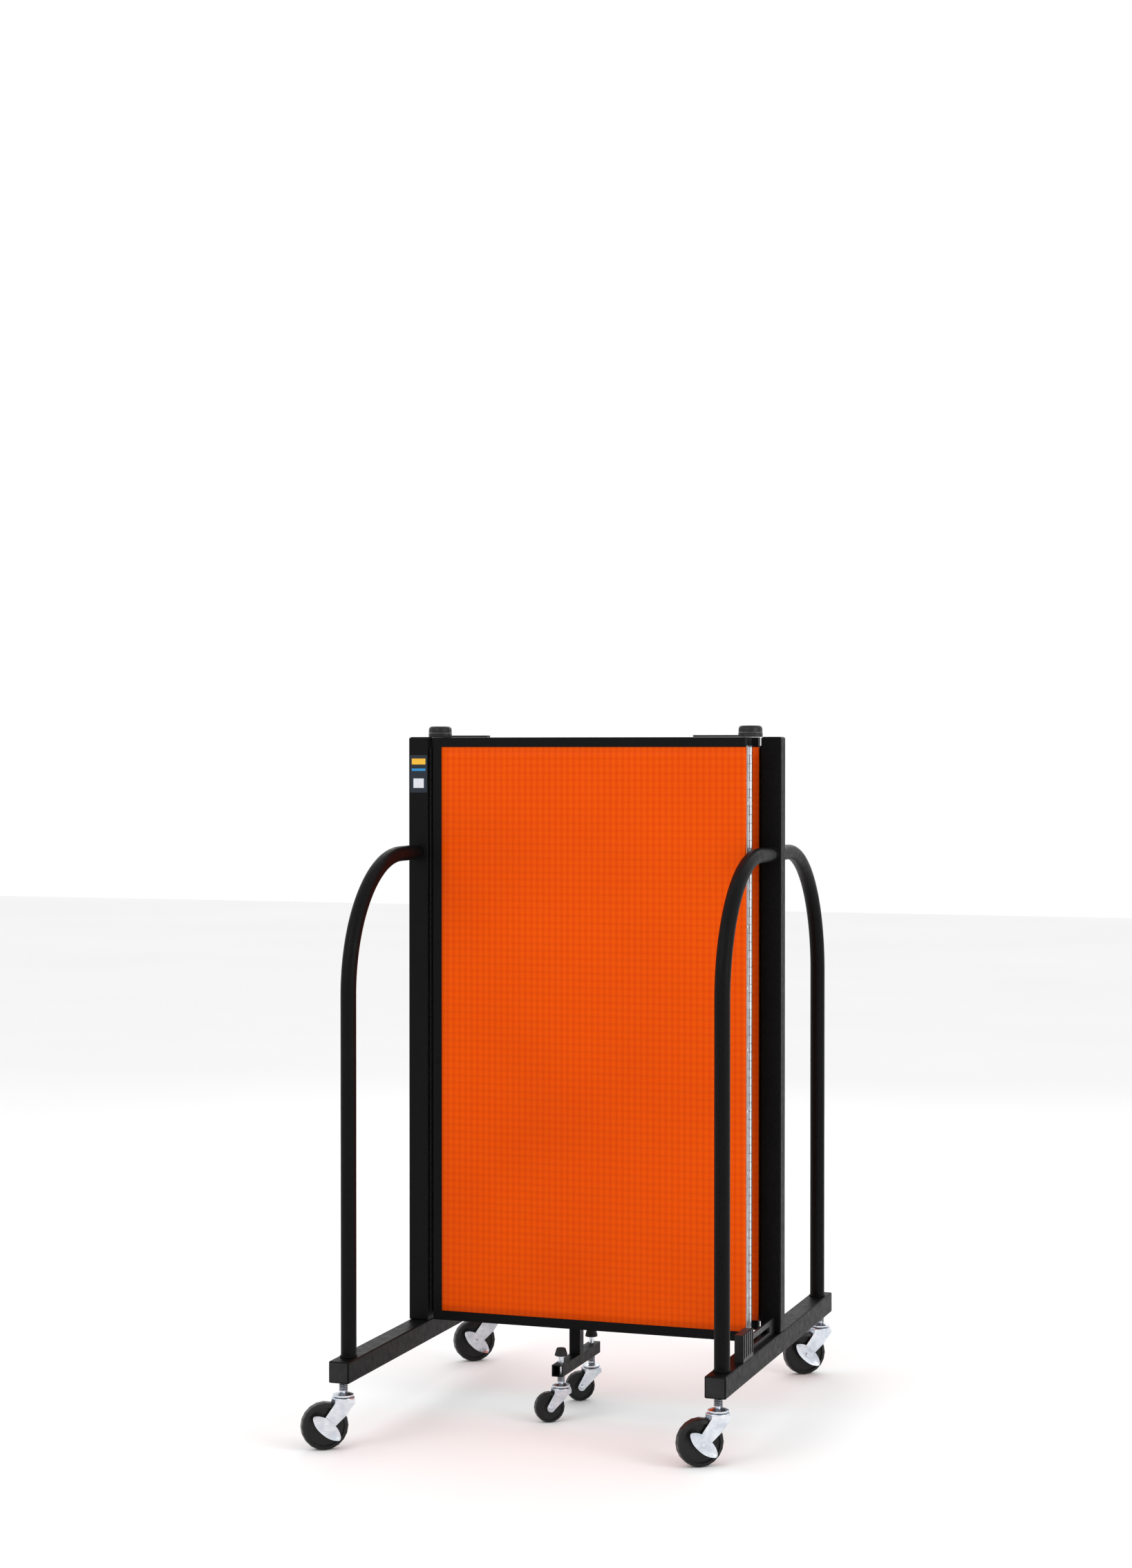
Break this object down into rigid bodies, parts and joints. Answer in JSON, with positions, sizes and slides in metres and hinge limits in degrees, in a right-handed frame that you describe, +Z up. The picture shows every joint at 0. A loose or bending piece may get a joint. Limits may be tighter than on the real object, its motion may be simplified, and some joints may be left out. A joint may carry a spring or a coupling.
{
  "type": "folding welding curtain screen",
  "caption": "Folding welding screen: translucent orange vinyl panels in black frames, hinged in a stack between two rolling end frames with arched tube braces and brake casters.",
  "frame": {"origin": "centre of the whole screen's bounding box in plan, on the floor", "axes": "+Z up; +X along the front panel from its left end frame to its right one; -Y is the front, the side the front panel faces"},
  "size_m": [0.6788, 0.8374, 1.1593],
  "materials": {
    "frame_black": "black powder coat, semi-matt with fine texture",
    "panel_frame_black": "black powder coat, semi-matt",
    "orange_vinyl": "translucent orange welding vinyl with a woven scrim inside",
    "hinge_steel": "bare bright steel",
    "hinge_black": "black paint",
    "zinc": "bright blue-white zinc plate",
    "wheel_black": "hard black rubber, satin",
    "damper_plastic": "moulded black plastic, satin",
    "grip_black": "moulded black plastic, satin",
    "rubber": "matt black rubber"
  },
  "bodies": {
    "left_frame": {"left_foot": "frame_black", "left_post": "frame_black", "left_front_bow": "frame_black", "left_rear_bow": "frame_black", "hinge_a_post_leaf": "hinge_black"},
    "panel_1": {"panel_1_frame": "panel_frame_black", "panel_1_sheet": "orange_vinyl", "hinge_a_panel_leaf": "hinge_black", "hinge_b_panel_1_leaf": "hinge_steel", "damper_b_base": "damper_plastic"},
    "panel_2": {"panel_2_frame": "panel_frame_black", "panel_2_sheet": "orange_vinyl", "hinge_b_panel_2_leaf": "hinge_steel", "hinge_c_panel_2_leaf": "hinge_steel", "damper_b_cap": "damper_plastic", "damper_c_base": "damper_plastic", "support_upright": "frame_black", "support_crossbar": "frame_black"},
    "panel_3": {"panel_3_frame": "panel_frame_black", "panel_3_sheet": "orange_vinyl", "hinge_c_panel_3_leaf": "hinge_steel", "hinge_d_panel_leaf": "hinge_black", "damper_c_cap": "damper_plastic"},
    "right_frame": {"right_foot": "frame_black", "right_post": "frame_black", "right_front_bow": "frame_black", "right_rear_bow": "frame_black", "hinge_d_post_leaf": "hinge_black", "grip_block": "grip_black", "grip_arm": "grip_black"},
    "left_front_caster_stem": {"left_front_caster_stem": "zinc", "left_front_caster_spring": "zinc"},
    "left_front_caster_fork": {"left_front_caster_fork": "zinc"},
    "left_front_caster_wheel": {"left_front_caster_wheel": "wheel_black"},
    "left_front_caster_brake": {"left_front_caster_brake": "zinc"},
    "left_rear_caster_stem": {"left_rear_caster_stem": "zinc", "left_rear_caster_spring": "zinc"},
    "left_rear_caster_fork": {"left_rear_caster_fork": "zinc"},
    "left_rear_caster_wheel": {"left_rear_caster_wheel": "wheel_black"},
    "left_rear_caster_brake": {"left_rear_caster_brake": "zinc"},
    "right_front_caster_stem": {"right_front_caster_stem": "zinc", "right_front_caster_spring": "zinc"},
    "right_front_caster_fork": {"right_front_caster_fork": "zinc"},
    "right_front_caster_wheel": {"right_front_caster_wheel": "wheel_black"},
    "right_front_caster_brake": {"right_front_caster_brake": "zinc"},
    "right_rear_caster_stem": {"right_rear_caster_stem": "zinc", "right_rear_caster_spring": "zinc"},
    "right_rear_caster_fork": {"right_rear_caster_fork": "zinc"},
    "right_rear_caster_wheel": {"right_rear_caster_wheel": "wheel_black"},
    "right_rear_caster_brake": {"right_rear_caster_brake": "zinc"},
    "centre_front_caster_stem": {"centre_front_caster_stem": "zinc", "centre_front_caster_spring": "zinc", "centre_front_caster_bumper": "rubber"},
    "centre_front_caster_fork": {"centre_front_caster_fork": "zinc"},
    "centre_front_caster_wheel": {"centre_front_caster_wheel": "wheel_black"},
    "centre_rear_caster_stem": {"centre_rear_caster_stem": "zinc", "centre_rear_caster_spring": "zinc", "centre_rear_caster_bumper": "rubber"},
    "centre_rear_caster_fork": {"centre_rear_caster_fork": "zinc"},
    "centre_rear_caster_wheel": {"centre_rear_caster_wheel": "wheel_black"}
  },
  "joints": [
    {"name": "hinge_a", "type": "hinge", "parent": "left_frame", "child": "panel_1", "pos_m": [-0.258, -0.0447, 0.6], "axis": [0, 0, 1], "range_deg": [-75, 0]},
    {"name": "hinge_b", "type": "hinge", "parent": "panel_1", "child": "panel_2", "pos_m": [0.3008, -0.0219, 0.6], "axis": [0, 0, 1], "range_deg": [-180, 0]},
    {"name": "hinge_c", "type": "hinge", "parent": "panel_2", "child": "panel_3", "pos_m": [-0.258, 0.0009, 0.6], "axis": [0, 0, 1], "range_deg": [0, 180]},
    {"name": "hinge_d", "type": "hinge", "parent": "panel_3", "child": "right_frame", "pos_m": [0.29669, 0.07232, 0.6], "axis": [0, 0, 1], "range_deg": [0, 80]},
    {"name": "left_front_caster_slide", "type": "slide", "parent": "left_frame", "child": "left_front_caster_stem", "axis": [0, 0, 1], "range_m": [0, 0.006], "stiffness_N_per_m": 6000, "springref_m": -0.015, "deforming": ["left_front_caster_spring"]},
    {"name": "left_front_caster_swivel", "type": "hinge", "parent": "left_front_caster_stem", "child": "left_front_caster_fork", "pos_m": [-0.2792, -0.3698, 0.085], "axis": [0, 0, 1], "continuous": true},
    {"name": "left_front_caster_roll", "type": "hinge", "parent": "left_front_caster_fork", "child": "left_front_caster_wheel", "pos_m": [-0.30434, -0.38793, 0.0381], "axis": [0.585, -0.8111, 0], "continuous": true},
    {"name": "left_front_caster_brake_lever", "type": "hinge", "parent": "left_front_caster_fork", "child": "left_front_caster_brake", "pos_m": [-0.30434, -0.38793, 0.0381], "axis": [0.585, -0.8111, 0], "range_deg": [-25, 0]},
    {"name": "left_rear_caster_slide", "type": "slide", "parent": "left_frame", "child": "left_rear_caster_stem", "axis": [0, 0, 1], "range_m": [0, 0.006], "stiffness_N_per_m": 6000, "springref_m": -0.015, "deforming": ["left_rear_caster_spring"]},
    {"name": "left_rear_caster_swivel", "type": "hinge", "parent": "left_rear_caster_stem", "child": "left_rear_caster_fork", "pos_m": [-0.2792, 0.3032, 0.085], "axis": [0, 0, 1], "continuous": true},
    {"name": "left_rear_caster_roll", "type": "hinge", "parent": "left_rear_caster_fork", "child": "left_rear_caster_wheel", "pos_m": [-0.30434, 0.28507, 0.0381], "axis": [0.585, -0.8111, 0], "continuous": true},
    {"name": "left_rear_caster_brake_lever", "type": "hinge", "parent": "left_rear_caster_fork", "child": "left_rear_caster_brake", "pos_m": [-0.30434, 0.28507, 0.0381], "axis": [0.585, -0.8111, 0], "range_deg": [-25, 0]},
    {"name": "right_front_caster_slide", "type": "slide", "parent": "right_frame", "child": "right_front_caster_stem", "axis": [0, 0, 1], "range_m": [0, 0.006], "stiffness_N_per_m": 6000, "springref_m": -0.015, "deforming": ["right_front_caster_spring"]},
    {"name": "right_front_caster_swivel", "type": "hinge", "parent": "right_front_caster_stem", "child": "right_front_caster_fork", "pos_m": [0.31789, -0.27558, 0.085], "axis": [0, 0, 1], "continuous": true},
    {"name": "right_front_caster_roll", "type": "hinge", "parent": "right_front_caster_fork", "child": "right_front_caster_wheel", "pos_m": [0.29275, -0.29371, 0.0381], "axis": [0.585, -0.8111, 0], "continuous": true},
    {"name": "right_front_caster_brake_lever", "type": "hinge", "parent": "right_front_caster_fork", "child": "right_front_caster_brake", "pos_m": [0.29275, -0.29371, 0.0381], "axis": [0.585, -0.8111, 0], "range_deg": [-25, 0]},
    {"name": "right_rear_caster_slide", "type": "slide", "parent": "right_frame", "child": "right_rear_caster_stem", "axis": [0, 0, 1], "range_m": [0, 0.006], "stiffness_N_per_m": 6000, "springref_m": -0.015, "deforming": ["right_rear_caster_spring"]},
    {"name": "right_rear_caster_swivel", "type": "hinge", "parent": "right_rear_caster_stem", "child": "right_rear_caster_fork", "pos_m": [0.31789, 0.39742, 0.085], "axis": [0, 0, 1], "continuous": true},
    {"name": "right_rear_caster_roll", "type": "hinge", "parent": "right_rear_caster_fork", "child": "right_rear_caster_wheel", "pos_m": [0.29275, 0.37929, 0.0381], "axis": [0.585, -0.8111, 0], "continuous": true},
    {"name": "right_rear_caster_brake_lever", "type": "hinge", "parent": "right_rear_caster_fork", "child": "right_rear_caster_brake", "pos_m": [0.29275, 0.37929, 0.0381], "axis": [0.585, -0.8111, 0], "range_deg": [-25, 0]},
    {"name": "centre_front_caster_slide", "type": "slide", "parent": "panel_2", "child": "centre_front_caster_stem", "axis": [0, 0, 1], "range_m": [0, 0.006], "stiffness_N_per_m": 3000, "springref_m": -0.01, "deforming": ["centre_front_caster_spring"]},
    {"name": "centre_front_caster_swivel", "type": "hinge", "parent": "centre_front_caster_stem", "child": "centre_front_caster_fork", "pos_m": [-0.0062, -0.0905, 0.058], "axis": [0, 0, 1], "continuous": true},
    {"name": "centre_front_caster_roll", "type": "hinge", "parent": "centre_front_caster_fork", "child": "centre_front_caster_wheel", "pos_m": [-0.02283, -0.10249, 0.0254], "axis": [0.585, -0.8111, 0], "continuous": true},
    {"name": "centre_rear_caster_slide", "type": "slide", "parent": "panel_2", "child": "centre_rear_caster_stem", "axis": [0, 0, 1], "range_m": [0, 0.006], "stiffness_N_per_m": 3000, "springref_m": -0.01, "deforming": ["centre_rear_caster_spring"]},
    {"name": "centre_rear_caster_swivel", "type": "hinge", "parent": "centre_rear_caster_stem", "child": "centre_rear_caster_fork", "pos_m": [-0.0062, 0.0695, 0.058], "axis": [0, 0, 1], "continuous": true},
    {"name": "centre_rear_caster_roll", "type": "hinge", "parent": "centre_rear_caster_fork", "child": "centre_rear_caster_wheel", "pos_m": [-0.02283, 0.05751, 0.0254], "axis": [0.585, -0.8111, 0], "continuous": true}
  ],
  "couplings": [
    {"joint": "hinge_c", "follows": "hinge_b", "ratio": -1}
  ]
}
